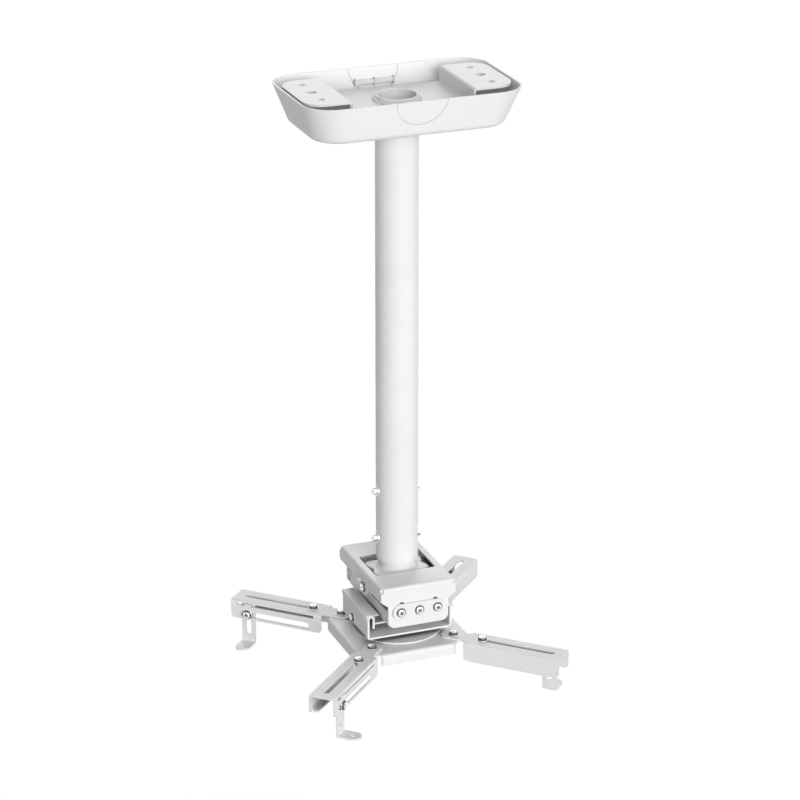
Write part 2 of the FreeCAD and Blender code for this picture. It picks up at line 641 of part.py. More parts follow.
def spider_hub():
    """Square plate with cut corners for the arms and a skirt along each side."""
    body = new_body("spider_hub")
    side, half, low = s.hub_side, s.hub_half, HUB_TOP - s.hub_skirt
    pad(body, "XY", low, HUB_TOP, polygon(
        (side, -half), (half, -side), (half, side), (side, half), (-side, half), (-half, side),
        (-half, -side), (-side, -half)))
    fillet(body, s.hub_bend, lambda edge: at_level(edge, "z", HUB_TOP) and (
        runs_along(edge, "x") or runs_along(edge, "y")))
    inner = half - s.gauge
    pocket(body, "XY", low, HUB_UNDER, rectangle(-inner, inner, -inner, inner))
    pocket(body, "XY", HUB_UNDER, HUB_TOP, circle(s.swivel_r + s.pin_fit), *[
        circle(s.arm_pin_r + s.pin_fit, x * s.arm_pivot_x, y * s.arm_pivot_x)
        for x in (-1, 1) for y in (-1, 1)])
    return body


# Arms and feet, each built along +X from its pivot and turned to its corner

ARM_TOP = HUB_TOP + s.arm_gauge
ARM_TURNS = {"back": (45, 1, 1), "left": (135, -1, 1), "front": (225, -1, -1), "right": (315, 1, -1)}


def arm_place(corner):
    turn, x, y = ARM_TURNS[corner]
    return turn, x * s.arm_pivot_x, y * s.arm_pivot_x


def arm(name, place):
    """Channel arm: a tongue on the hub, a slot along its top, and two slots for the foot in one wall."""
    body = new_body(name, place)
    low = ARM_TOP - s.arm_skirt
    inside = s.arm_half - s.arm_gauge
    pad(body, "XY", low, ARM_TOP, rectangle(s.arm_skirt_from, s.arm_length, -s.arm_half, s.arm_half))
    fillet(body, s.arm_gauge, lambda edge: runs_along(edge, "x") and at_level(edge, "z", ARM_TOP))
    pocket(body, "XY", low, HUB_TOP, rectangle(s.arm_skirt_from, s.arm_length, -inside, inside))
    pad(body, "XY", HUB_TOP, ARM_TOP,
        rectangle(-s.arm_tongue, s.arm_skirt_from, -s.arm_tongue_half, s.arm_tongue_half))
    fillet(body, s.arm_tongue_r, lambda edge: runs_along(edge, "z") and at_level(edge, "x", -s.arm_tongue))
    fillet(body, s.arm_skirt_corner, lambda edge: runs_along(edge, "y") and at_level(edge, "z", low))
    pocket(body, "XY", HUB_TOP, ARM_TOP, circle(s.arm_pin_r + s.pin_fit),
           slot(s.arm_slot_from, 0, s.arm_slot_to, 0, s.arm_slot_r))
    tab_top = ARM_TOP - s.tab_slot_drop
    level = ARM_TOP - s.foot_slot_drop
    pocket(body, "XZ", inside, s.arm_half,
           rectangle(s.tab_slot_from, s.tab_slot_to, tab_top - s.tab_slot_height, tab_top),
           slot(s.foot_slot_from, level, s.foot_slot_to, level, s.foot_slot_r))
    return body


def arm_pivot(name, place):
    body = new_body(name, place)
    head = ARM_TOP + s.pin_fit
    top = head + s.arm_head
    pad(body, "XY", HUB_UNDER - s.arm_pin_end, head, circle(s.arm_pin_r))
    pad(body, "XY", head, top, circle(s.arm_head_r))
    fillet(body, s.arm_head_edge, lambda edge: at_level(edge, "z", top))
    return body


def foot(name, place):
    """Slotted strip inside the arm's wall, with a tab out through it and a drilled toe below."""
    body = new_body(name, place)
    far = s.arm_half - s.arm_gauge - s.foot_gap
    near = far - s.foot_gauge
    tip = far + s.foot_reach
    low = ARM_TOP - s.foot_drop
    toe = low + s.foot_gauge
    tab_high = ARM_TOP - s.tab_slot_drop - s.tab_gap
    tab_low = ARM_TOP - s.tab_slot_drop - s.tab_slot_height + s.tab_gap
    pad(body, "YZ", s.foot_at - s.foot_half, s.foot_at + s.foot_half, polygon(
        (near, low), (tip, low), (tip, toe), (far, toe), (far, tab_high), (near, tab_high)))
    fillet(body, s.foot_toe_r, lambda edge: runs_along(edge, "z") and at_level(edge, "y", tip))
    fillet(body, s.bend, lambda edge: runs_along(edge, "x") and at_level(edge, "y", near)
           and at_level(edge, "z", low))
    fillet(body, s.bend - s.foot_gauge, lambda edge: runs_along(edge, "x") and at_level(edge, "y", far)
           and at_level(edge, "z", toe))
    pad(body, "YZ", s.foot_at - s.tab_half, s.foot_at + s.tab_half,
        rectangle(far, s.arm_half + s.tab_proud, tab_low, tab_high))
    pocket(body, "XY", low, toe, circle(s.foot_hole / 2, s.foot_at, far + s.foot_hole_out))
    pocket(body, "XZ", near, far, slot(s.foot_at, low + s.foot_window_rise, s.foot_at,
                                       ARM_TOP - s.foot_window_top, s.foot_window_r))
    return body


def main():
    pieces = [ceiling_plate(), ceiling_cover(), outer_pole(), inner_pole(), pole_bracket(), tilt_frame(),
              roll_bracket(), slide_plate(), rail_tray(), swivel_disc(), swivel_pin(), spider_hub(),
              weld_bead("pole_weld", -s.floor_depth, POLE_R),
              weld_bead("bracket_weld", BRACKET_TOP, INNER_R)]
    for side, place in (("left", -1), ("right", 1)):
        pieces.append(tilt_pin(f"tilt_pin_{side}", place))
    for side, place in (("front", -1), ("back", 1)):
        pieces.append(roll_clamp(f"roll_clamp_{side}", place))
        pieces.append(roll_pin(f"roll_pin_{side}", place))
    for corner in ARM_TURNS:
        pieces.append(arm(f"arm_{corner}", arm_place(corner)))
        pieces.append(arm_pivot(f"arm_pivot_{corner}", arm_place(corner)))
        pieces.append(foot(f"foot_{corner}", arm_place(corner)))
    doc.recompute()
    for item in doc.Objects:
        if "Invalid" in item.State or "Error" in item.State:
            raise RuntimeError(f"{item.Name} did not build: {item.State}")
    for piece in pieces:
        if piece.Shape.isNull() or not piece.Shape.isValid() or len(piece.Shape.Solids) != 1:
            raise RuntimeError(f"{piece.Label} is not one valid solid")
    os.makedirs("parts", exist_ok=True)
    for piece in pieces:
        piece.Shape.exportStep(f"parts/{piece.Label}.step")
        print(f"{piece.Label}: {piece.Shape.Volume / 1000:.1f} cm3")


main()
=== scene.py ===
"""Looks of the projector ceiling mount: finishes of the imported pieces, its screws, bolts, nuts and thin
trim, and a plain white studio. Metres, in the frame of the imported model.
"""
import json
import math

import bmesh
import bpy
from mathutils import Matrix, Vector

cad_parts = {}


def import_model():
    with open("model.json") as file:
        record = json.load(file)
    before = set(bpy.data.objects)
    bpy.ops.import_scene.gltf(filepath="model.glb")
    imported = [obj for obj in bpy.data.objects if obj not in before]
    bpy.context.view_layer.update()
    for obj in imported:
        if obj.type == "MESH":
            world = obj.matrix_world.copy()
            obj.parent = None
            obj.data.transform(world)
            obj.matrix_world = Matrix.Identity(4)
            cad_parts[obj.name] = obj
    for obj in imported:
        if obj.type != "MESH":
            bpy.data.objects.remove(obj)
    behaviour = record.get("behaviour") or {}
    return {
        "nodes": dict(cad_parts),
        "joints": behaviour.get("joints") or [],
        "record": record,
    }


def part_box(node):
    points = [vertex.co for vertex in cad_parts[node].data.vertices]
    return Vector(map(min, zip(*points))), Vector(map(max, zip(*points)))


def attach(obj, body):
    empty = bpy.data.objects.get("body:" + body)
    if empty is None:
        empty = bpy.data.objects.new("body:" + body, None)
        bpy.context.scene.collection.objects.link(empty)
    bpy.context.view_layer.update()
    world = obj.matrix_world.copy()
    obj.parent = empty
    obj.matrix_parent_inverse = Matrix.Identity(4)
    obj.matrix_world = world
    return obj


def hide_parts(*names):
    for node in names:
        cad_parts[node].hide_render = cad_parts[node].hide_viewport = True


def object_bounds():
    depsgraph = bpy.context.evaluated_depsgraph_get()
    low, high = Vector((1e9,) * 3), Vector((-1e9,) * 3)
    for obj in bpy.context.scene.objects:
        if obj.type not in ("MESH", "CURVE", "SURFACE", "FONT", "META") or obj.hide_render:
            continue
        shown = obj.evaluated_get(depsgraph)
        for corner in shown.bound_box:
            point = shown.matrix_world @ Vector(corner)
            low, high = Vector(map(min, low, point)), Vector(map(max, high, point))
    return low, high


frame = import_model()
CAD_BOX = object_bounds()
NODES = frame["nodes"]
MM = 0.001


# Where things are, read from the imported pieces


def joint_place(name):
    return next(Vector(joint["pos_m"]) for joint in frame["joints"] if joint["name"] == name)


TILT = joint_place("tilt")
ROLL = joint_place("roll")
ARM_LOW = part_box("arm_left")[0].z
ARM_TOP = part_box("arm_left")[1].z
FRAME_LOW, FRAME_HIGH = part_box("tilt_frame")
TRAY_LOW, TRAY_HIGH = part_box("rail_tray")
POLE_LOW, POLE_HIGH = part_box("outer_pole")
POLE_R = POLE_HIGH.x
INNER_POLE_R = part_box("inner_pole")[1].x

# Places of the hardware; arms are named by the corner they point to, with its bearing in degrees
ARM_TURNS = {"back": 45, "left": 135, "front": 225, "right": 315}
ARM_SIDE = 16.5 * MM
ARM_SHEET = 2 * MM
ARM_SCREW_OUT = 37.5 * MM
FOOT_OUT = 118.5 * MM
FOOT_SCREW_DROP = 16.6 * MM
POLE_BOLT_RISES = {"pole_bolt_low": 28 * MM, "pole_bolt_high": 88 * MM}
ROLL_SCREW_X = 23 * MM
TILT_LOCK_Y = -15.5 * MM
TRAY_SCREW_Y = 6 * MM
TRAY_SCREW_RISE = 10 * MM

# Gaps that keep pieces from sharing a face with what they sit on
SEAT = 0.03 * MM
TILT_SEAT = 0.1 * MM
SADDLE_SEAT = 0.02 * MM
RAIL_CAP_SEAT = 0.05 * MM

# Screws, bolts and nuts
WASHER_THICK = 1.0 * MM
LOCK_WASHER_THICK = 0.6 * MM
LOCK_WASHER_MARGIN = 0.75 * MM
LOCK_WASHER_EDGE = 0.1 * MM
LOCK_TEETH = 18
SHANK_FIT = 0.1 * MM

ROLL_SCREW = dict(head_radius=5.2 * MM, head_height=2.4 * MM, shank=2.5 * MM, length=15 * MM,
                  nut=8 * MM, grip=8.6 * MM)
ROLL_PIVOT = dict(head_radius=5.2 * MM, head_height=2.4 * MM, shank=3.0 * MM, length=13 * MM,
                  nut=9 * MM, grip=8.6 * MM)
TILT_LOCK = dict(head_radius=5.6 * MM, head_height=3.0 * MM, shank=2.4 * MM, length=13 * MM,
                 washer_radius=6.8 * MM, nut=8 * MM, grip=6.6 * MM)
ARM_PIVOT = dict(head_radius=5.0 * MM, head_height=3.2 * MM, shank=3.0 * MM, length=10 * MM,
                 washer_radius=6.2 * MM, nut=9 * MM, grip=4.6 * MM)
SLOT_SCREW = dict(head_radius=5.0 * MM, head_height=3.2 * MM, shank=2.9 * MM, length=10 * MM,
                  washer_radius=6.4 * MM, nut=9 * MM, grip=2.1 * MM)
FOOT_SCREW = dict(head_radius=5.2 * MM, head_height=3.0 * MM, shank=2.9 * MM, length=11 * MM,
                  washer_radius=6.2 * MM, nut=8 * MM, grip=4.9 * MM)
TRAY_SCREW = dict(head_radius=4.6 * MM, head_height=3.0 * MM, shank=2.5 * MM, length=16 * MM,
                  washer_radius=5.6 * MM)

TILT_WASHER = dict(outer=8.2 * MM, bore=4.1 * MM, thickness=1.5 * MM)
TILT_HEAD = dict(across=13 * MM, height=2.2 * MM, low=1.5 * MM)
TILT_THREAD = dict(radius=3.9 * MM, low=-9 * MM, high=1.6 * MM, pitch=1.25 * MM)
POLE_WASHER = dict(outer=6.75 * MM, bore=3.1 * MM, thickness=1.5 * MM)
# The pole head's last share is how far up its rim the painted shade reaches.
POLE_HEAD = dict(radius=4.9 * MM, height=5.4 * MM, low=1.5 * MM, sunk=0.4, painted_shade_rim=0.1)
POLE_THREAD = dict(radius=3.0 * MM, low=-(2 * POLE_R + 4.4 * MM), high=1.6 * MM)
POLE_NUT_WASHER = dict(outer=5.6 * MM, bore=3.1 * MM, thickness=0.5 * MM)
POLE_NUT = dict(across=9.6 * MM, height=3.3 * MM, low=0.5 * MM, bore=2.8 * MM)
SWIVEL_NUT = dict(across=24 * MM, height=5 * MM, bore=7.5 * MM)
SWIVEL_WASHER = dict(outer=16 * MM, bore=8.05 * MM, thickness=0.2 * MM, low=5.0 * MM)
SWIVEL_THREAD = dict(radius=8.0 * MM, low=0.5 * MM, pitch=1.5 * MM)

# How far each screw happens to be turned, radians
ROLL_SCREW_TURNS = {"left": 0.4, "right": 1.1}
ROLL_PIVOT_TURN = 0.8
TILT_PIVOT_TURN = 0.2
TILT_LOCK_TURN = 0.5
TRAY_SCREW_TURN = 0.6
ARM_PIVOT_TURN = 0.3
SLOT_SCREW_TURN = 0.7
FOOT_SCREW_TURN = 0.9

# Trim of folded sheet, and welds
RAIL_CAP_WIDTH = 14.2 * MM
RAIL_CAP_Y = (-42.5 * MM, 40.5 * MM)
RAIL_CAP_SHEET = 1.6 * MM
RAIL_CAP_DROP = 3.5 * MM
ARM_LIP = 8 * MM
ARM_LIP_OUT = (34 * MM, 136 * MM)
ARM_LIP_SUNK = 0.5 * MM
ARM_LIP_FILLET = 1.2 * MM
SHEET_EDGE = 0.35 * MM
SADDLE_HALF_X = 34.4 * MM
SADDLE_HALF_Y = 22 * MM
SADDLE_HIGH = 7 * MM
SADDLE_SQUARENESS = 9
SADDLE_INSETS = {1: 0.0, 2: 0.0, 3: 0.5 * MM, 4: 1.6 * MM}
SADDLE_WELD = ((3.0 * MM, 0.0), (2.3 * MM, 1.3 * MM), (1.1 * MM, 2.1 * MM), (0.0, 2.4 * MM))
WAIST_DEPTH = 0.11
WAIST_Y = -1.5 * MM
WAIST_WIDTH = 6.5 * MM
WELD_RIPPLES = 40
WELD_STEPS = 8
WELD_LOW_SHARE = 0.84

# Mesh fineness
SEGMENTS = 48
HEAD_SEGMENTS = 64
HEAD_STEPS = 26
NUT_SEGMENTS = 72
THREAD_SEGMENTS = 32
LOCK_WASHER_SEGMENTS = 6 * LOCK_TEETH
SADDLE_SEGMENTS = 240
RIPPLE_SEGMENTS = 8
SHARP_ANGLE = 32

# Colours, and how far from a gap a finish is darkened by painted shade; painted shade steps are shares of the
# open view and tones
BLACK = (0.0, 0.0, 0.0)
COAT_WHITE = (0.868, 0.868, 0.862)
COAT_SPECK = (0.80, 0.80, 0.79)
COAT_THIN = (0.70, 0.70, 0.695)
COAT_MOTTLE = 0.965
PLASTIC_DULL = (0.875, 0.875, 0.868)
PLASTIC_WHITE = (0.90, 0.90, 0.895)
PLASTIC_WORN = (0.93, 0.93, 0.925)
ZINC_DULL = (0.70, 0.715, 0.73)
ZINC_BRIGHT = (0.86, 0.865, 0.87)
ZINC_EDGE = (0.93, 0.935, 0.94)
# Dark tones of the painted shade in screw recesses, head rims and toothed washers
PAINTED_SHADE_DARK = (0.09, 0.09, 0.095)
PAINTED_SHADE_LIGHT = (0.2, 0.2, 0.21)
COAT_SHADE_REACH = 18 * MM
CHANNEL_SHADE_REACH = 45 * MM
PLASTIC_SHADE_REACH = 35 * MM
COAT_OPEN = 0.5
PLASTIC_OPEN = 0.62
GAP_SHADE_STEPS = ((0.0, 0.05), (0.3, 0.2), (0.64, 0.74), (1.0, 1.0))
CHANNELS = ("arm_", "foot_", "tilt_frame", "roll_bracket", "pole_bracket", "ceiling_plate")

# Studio: lamps are name, direction they shine from, width in degrees and strength
LAMPS = (
    ("front_left", (-0.9, -3.9, 0.8), 40, 1.46),
    ("front_right", (0.8, -3.9, 0.6), 40, 1.29),
    ("right", (3.6, -0.6, 0.7), 40, 0.24),
    ("above", (0.4, -2.0, 2.7), 45, 0.41),
    ("behind", (0.8, 3.4, 1.4), 45, 0.88),
)
WORLD_FILL = 0.18
WORLD_SEEN = 1.0
FLOOR_DROP = 0.35
FLOOR_HALF = 30
FLOOR_GREYS = ((0.60, 0.60, 0.60), (0.62, 0.62, 0.62))
FLOOR_LIFT = 0.66
CAMERA_AZIMUTH = math.radians(21.31)
CAMERA_PITCH = math.radians(21.34)
CAMERA_DISTANCE = 3.743
CAMERA_ASIDE = 0.00366
CAMERA_AIM_Z = -0.38283
CAMERA_FOCAL_PX = 3203
CAMERA_IMAGE_PX = 800
CAMERA_SENSOR = 36.0
CAMERA_CLIP_END = 50


# Materials


class Nodes:
    """Short way to add shader nodes to a new material and link them."""

    def __init__(self, name):
        self.material = bpy.data.materials.new(name)
        self.material.use_nodes = True
        self.tree = self.material.node_tree
        self.shader = self.tree.nodes["Principled BSDF"]
        self.output = self.tree.nodes["Material Output"]

    def add(self, kind, inputs=None, **settings):
        node = self.tree.nodes.new(kind)
        for key, value in settings.items():
            setattr(node, key, value)
        for key, value in (inputs or {}).items():
            if isinstance(value, bpy.types.NodeSocket):
                self.link(value, node.inputs[key])
            else:
                node.inputs[key].default_value = value
        return node

    def link(self, source, target):
        self.tree.links.new(source, target)

    def feed(self, **sources):
        """Link sources to the shader's sockets, whose names have _ for a space here."""
        for name, source in sources.items():
            self.link(source, self.shader.inputs[name.replace("_", " ")])

    def place(self):
        return self.add("ShaderNodeTexCoord").outputs["Object"]

    def noise(self, scale, detail, roughness, vector):
        return self.add("ShaderNodeTexNoise", {
            "Vector": vector, "Scale": scale, "Detail": detail, "Roughness": roughness}).outputs["Fac"]

    def ramp(self, factor, *stops):
        """Grey from a factor, by straight steps between (position, tone) stops."""
        node = self.add("ShaderNodeValToRGB", {"Fac": factor})
        elements = node.color_ramp.elements
        while len(elements) < len(stops):
            elements.new(0.5)
        for element, (position, tone) in zip(elements, stops):
            element.position = position
            element.color = (tone, tone, tone, 1)
        return node.outputs["Color"]

    def mix(self, factor, one, other, blend="MIX"):
        node = self.add("ShaderNodeMix", data_type="RGBA", blend_type=blend)
        for socket, value in ((node.inputs[0], factor), (node.inputs[6], one), (node.inputs[7], other)):
            if isinstance(value, bpy.types.NodeSocket):
                self.link(value, socket)
            else:
                socket.default_value = value if isinstance(value, float) else (*value, 1)
        return node.outputs[2]

    def span(self, value, low, high):
        return self.add("ShaderNodeMapRange", {"Value": value, "To Min": low, "To Max": high}).outputs[0]

    def edges(self, radius):
        """Near 1 on edges and corners and 0 on flat faces, from how far a rounded normal turns away."""
        rounded = self.add("ShaderNodeBevel", {"Radius": radius}, samples=6).outputs["Normal"]
        flat = self.add("ShaderNodeNewGeometry").outputs["Normal"]
        same = self.add("ShaderNodeVectorMath", {0: rounded, 1: flat}, operation="DOT_PRODUCT")
        return self.add("ShaderNodeMapRange", {
            "Value": same.outputs["Value"], "From Min": 0.999, "From Max": 0.86,
            "To Min": 0.0, "To Max": 1.0}).outputs[0]

    def paint_gap_shade(self, colour, distance, open_at):
        """Painted shade: darken a colour in gaps and under overlaps, up to where a share open_at of the view is
        free.
        """
        reach = self.add("ShaderNodeAmbientOcclusion", {"Distance": distance}, samples=8).outputs["AO"]
        clean = self.ramp(reach, *[(share * open_at, tone) for share, tone in GAP_SHADE_STEPS])
        return self.mix(1.0, colour, clean, "MULTIPLY")

    def bump(self, height, strength, distance, normal=None):
        inputs = {"Height": height, "Strength": strength, "Distance": distance}
        if normal:
            inputs["Normal"] = normal
        return self.add("ShaderNodeBump", inputs).outputs["Normal"]


def powder_coat(name, gap):
    """White powder coat on sheet steel: orange peel, faint mottling, thin coat on the edges, and painted shade
    darkening it in gaps.
    """
    n = Nodes(name)
    place = n.place()
    mottle = n.noise(22, 3, 0.55, place)
    speck = n.noise(900, 2, 0.5, place)
    peel = n.add("ShaderNodeTexVoronoi", {"Vector": place, "Scale": 520, "Smoothness": 0.9},
                 feature="SMOOTH_F1").outputs["Distance"]
    duller = tuple(value * COAT_MOTTLE for value in COAT_WHITE)
    colour = n.mix(n.ramp(mottle, (0.32, 0.0), (0.68, 1.0)), duller, COAT_WHITE)
    colour = n.mix(n.ramp(speck, (0.66, 0.0), (0.78, 0.35)), colour, COAT_SPECK)
    chips = n.ramp(n.noise(260, 4, 0.6, place), (0.46, 0.0), (0.62, 0.55))
    colour = n.mix(n.mix(n.edges(0.9 * MM), BLACK, chips), colour, COAT_THIN)
    # The base colour is darkened by painted shade in gaps and under overlaps.
    n.feed(Base_Color=n.paint_gap_shade(colour, gap, COAT_OPEN),
           Roughness=n.span(n.noise(70, 4, 0.6, place), 0.34, 0.46),
           Normal=n.bump(peel, 0.16, 0.6 * MM, n.bump(mottle, 0.05, 2 * MM)))
    n.shader.inputs["Specular IOR Level"].default_value = 0.42
    return n.material


def moulded_plastic():
    """White moulded plastic: fine spark-eroded texture, faint flow shading, a satin surface, and painted shade
    darkening it in gaps.
    """
    n = Nodes("moulded_plastic")
    place = n.place()
    flow = n.noise(6, 2, 0.5, place)
    grain = n.noise(1500, 3, 0.65, place)
    colour = n.mix(n.ramp(flow, (0.3, 0.0), (0.7, 1.0)), PLASTIC_DULL, PLASTIC_WHITE)
    rubs = n.ramp(n.noise(140, 3, 0.6, place), (0.4, 0.0), (0.7, 0.5))
    colour = n.mix(n.mix(n.edges(1.2 * MM), BLACK, rubs), colour, PLASTIC_WORN)
    # The base colour is darkened by painted shade in gaps and under overlaps.
    n.feed(Base_Color=n.paint_gap_shade(colour, PLASTIC_SHADE_REACH, PLASTIC_OPEN),
           Roughness=n.span(grain, 0.40, 0.54),
           Normal=n.bump(grain, 0.12, 0.3 * MM))
    n.shader.inputs["Specular IOR Level"].default_value = 0.45
    return n.material


def bright_zinc():
    """Bright zinc plate: cool grey metal, cloudy plating, fine scratches and a lighter tone on edges."""
    n = Nodes("bright_zinc")
    place = n.place()
    cloud = n.noise(260, 4, 0.6, place)
    stretched = n.add("ShaderNodeMapping", {"Vector": place, "Scale": (1, 1, 9)}).outputs[0]
    scratch = n.noise(1100, 3, 0.7, stretched)
    colour = n.mix(n.ramp(cloud, (0.3, 0.0), (0.7, 1.0)), ZINC_DULL, ZINC_BRIGHT)
    n.feed(Base_Color=n.mix(n.edges(0.5 * MM), colour, ZINC_EDGE),
           Roughness=n.span(scratch, 0.16, 0.34),
           Normal=n.bump(scratch, 0.08, 0.1 * MM))
    n.shader.inputs["Metallic"].default_value = 1.0
    return n.material


def painted_recess_shade():
    """Dark metal standing in for the shade in toothed washers, head rims and driver recesses: painted shade,
    with random darker and lighter patches.
    """
    n = Nodes("painted_recess_shade")
    place = n.place()
    patches = n.ramp(n.noise(700, 3, 0.6, place), (0.3, 0.0), (0.7, 1.0))
    n.feed(Base_Color=n.mix(patches, PAINTED_SHADE_DARK, PAINTED_SHADE_LIGHT),
           Roughness=n.span(n.noise(900, 2, 0.5, place), 0.4, 0.6),
           Normal=n.bump(n.noise(1400, 3, 0.6, place), 0.2, 0.1 * MM))
    n.shader.inputs["Metallic"].default_value = 0.7
    return n.material


COAT = powder_coat("powder_coat", COAT_SHADE_REACH)
# Coat for channels and frames, whose painted shade in gaps reaches further.
CHANNEL_DEEP_SHADE_COAT = powder_coat("channel_powder_coat", CHANNEL_SHADE_REACH)
PLASTIC = moulded_plastic()
ZINC = bright_zinc()
# Metal of painted shade, for recesses, head rims and toothed washers.
PAINTED_SHADE_METAL = painted_recess_shade()
SLOT_MATERIALS = {"steel": COAT, "plastic": PLASTIC, "zinc": ZINC}


def dress_nodes():
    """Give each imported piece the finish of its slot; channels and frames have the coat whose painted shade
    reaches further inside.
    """
    slots = {part["node"]: part["material_slot"] for part in frame["record"]["subparts"]}
    for name, node in NODES.items():
        finish = SLOT_MATERIALS[slots[name]]
        if finish == COAT and name.startswith(CHANNELS):
            finish = CHANNEL_DEEP_SHADE_COAT
        node.data.materials.clear()
        node.data.materials.append(finish)


# Mesh building


def rings_about_z(mesh, profile, segments, outline):
    """Ring of vertices for each (radius, height) pair; an outline may change both by step and angle."""
    rings = []
    for step, (radius, height) in enumerate(profile):
        ring = []
        for index in range(segments):
            angle = math.tau * index / segments
            reach, level = outline(step, angle, radius, height) if outline else (radius, height)
            ring.append(mesh.verts.new((reach * math.cos(angle), reach * math.sin(angle), level)))
        rings.append(ring)
    return rings


def join_rings(mesh, lower, upper):
    """Band of four-sided faces between two rings."""
    faces = []
    for index in range(len(lower)):
        after = (index + 1) % len(lower)
        faces.append(mesh.faces.new((lower[index], lower[after], upper[after], upper[index])))
    return faces


def turned(profile, segments, outline=None):
    """Revolve an open profile about +Z and close both its ends."""
    mesh = bmesh.new()
    rings = rings_about_z(mesh, profile, segments, outline)
    for lower, upper in zip(rings, rings[1:]):
        join_rings(mesh, lower, upper)
    for ring in (rings[0], rings[-1]):
        mesh.faces.new(ring)
    return mesh


def ring_of(profile, segments=SEGMENTS, outline=None):
    """Revolve a closed profile about +Z, for washers and beads."""
    mesh = bmesh.new()
    rings = rings_about_z(mesh, profile, segments, outline)
    for lower, upper in zip(rings, rings[1:] + rings[:1]):
        join_rings(mesh, lower, upper)
    return mesh


def piece(name, meshes, material, body, place, axis=(0, 0, 1), turn=0.0):
    """Join meshes built about +Z into one piece that stands at a place along an axis and rides a body."""
    joined = bmesh.new()
    data = bpy.data.meshes.new(name)
    for mesh in meshes:
        mesh.to_mesh(data)
        mesh.free()
        joined.from_mesh(data)
    bmesh.ops.recalc_face_normals(joined, faces=joined.faces)
    # Faces with index 1 take the painted shade metal.
    has_painted_shade = any(face.material_index for face in joined.faces)
    turn_to = Vector((0, 0, 1)).rotation_difference(Vector(axis)).to_matrix().to_4x4()
    joined.transform(Matrix.Translation(place) @ turn_to @ Matrix.Rotation(turn, 4, "Z"))
    joined.to_mesh(data)
    joined.free()
    data.shade_smooth()
    data.set_sharp_from_angle(angle=math.radians(SHARP_ANGLE))
    for finish in (material, PAINTED_SHADE_METAL) if has_painted_shade else (material,):
        data.materials.append(finish)
    item = bpy.data.objects.new(name, data)
    bpy.context.scene.collection.objects.link(item)
    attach(item, body)
    return item


def washer(outer, bore, thickness, low=0.0):
    edge = min(thickness * 0.3, 0.3 * MM)
    high = low + thickness
    return ring_of([(bore, low + edge), (bore + edge, low), (outer - edge, low), (outer, low + edge),
                    (outer, high - edge), (outer - edge, high), (bore + edge, high), (bore, high - edge)])


def saddle_washer(outer, bore, thickness):
    """Washer whose underside is curved to sit on the outer pole."""
    mesh = washer(outer, bore, thickness)
    for vertex in mesh.verts:
        if vertex.co.z < thickness / 2:
            vertex.co.z -= POLE_R - math.sqrt(POLE_R ** 2 - vertex.co.y ** 2)
    return mesh


def hexagon(across, height, low=0.0, bore=0.0):
    """Hexagon nut or head with a turned chamfer top and bottom."""
    flat = across / 2
    chamfer = 0.12 * height
    slope = math.tan(math.radians(30))
    high = low + height
    profile = [(flat * 0.97, low), (flat, low), (flat, high), (flat * 0.97, high)]
    if bore:
        profile = [(bore, low), *profile, (bore, high)]
    low_edge, high_edge = (2, 3) if bore else (1, 2)

    def outline(step, angle, radius, level):
        if step not in (low_edge, high_edge):
            return radius, level
        reach = flat / math.cos((angle + math.pi / 6) % (math.pi / 3) - math.pi / 6)
        fall = max(0.0, reach - flat * 1.01) * slope + chamfer * 0.25
        return reach, level + fall if step == low_edge else level - fall

    return turned(profile, NUT_SEGMENTS, outline)


def thread(radius, low, high, pitch=1.0 * MM):
    """Screw end with rings of thread and a chamfered tip."""
    depth = 0.28 * pitch
    turns = max(2, int((high - low) / pitch))
    profile = [(radius * 0.7, low), (radius - depth, low + depth)]
    for index in range(turns):
        level = low + depth + (high - low - depth) * (index + 0.5) / turns
        profile += [(radius, level), (radius - depth, level + (high - low - depth) / turns / 2)]
    profile += [(radius - depth, high)]
    return turned(profile, THREAD_SEGMENTS)


def cross_depth(x, y, reach, half):
    """How deep a cross recess is at a point, from 0 outside to 1 along its arms."""
    along, across = max(abs(x), abs(y)), min(abs(x), abs(y))
    inside = max(0.0, min(1.0, (half - across) / (0.35 * half)))
    ends = max(0.0, min(1.0, (reach - along) / (0.3 * reach)))
    return inside * ends


def dome_head(radius, height, low=0.0, sunk=0.62, painted_shade_rim=0.72):
    """Pan head with a cross recess sunk in its top; the recess and a band round the rim take painted shade. The
    recess depth and the band are shares of its height.
    """
    rim = 0.34 * height
    edge = 0.2 * MM
    profile = [(radius - edge, 0.0), (radius, edge)]
    for step in range(HEAD_STEPS):
        reach = radius * math.sin((1 - step / HEAD_STEPS) * math.pi / 2) ** 0.8
        crown = rim + (height - rim) * math.sqrt(max(0.0, 1 - (reach / radius) ** 2.4))
        profile.append((reach, crown))

    def pressed(x, y, level):
        return cross_depth(x, y, 0.55 * radius, 0.17 * radius) if level > rim else 0.0

    def outline(step, angle, reach, level):
        depth = pressed(reach * math.cos(angle), reach * math.sin(angle), level)
        return reach, low + level - depth * sunk * height

    mesh = bmesh.new()
    rings = rings_about_z(mesh, profile, HEAD_SEGMENTS, outline)
    deep = {vertex for ring, (reach, level) in zip(rings, profile) for vertex in ring
            if pressed(vertex.co.x, vertex.co.y, level) > 0.3}
    for lower, upper in zip(rings, rings[1:]):
        for face in join_rings(mesh, lower, upper):
            # Faces low on the rim and deep in the cross get the painted shade metal.
            at_rim = max(vertex.co.z for vertex in face.verts) < low + painted_shade_rim * height
            face.material_index = int(at_rim or all(vertex in deep for vertex in face.verts))
    middle = mesh.verts.new((0, 0, low + height * (1 - sunk)))
    inmost = rings[-1]
    for one, other in zip(inmost, inmost[1:] + inmost[:1]):
        mesh.faces.new((one, other, middle)).material_index = 1
    mesh.faces.new(rings[0])
    return mesh


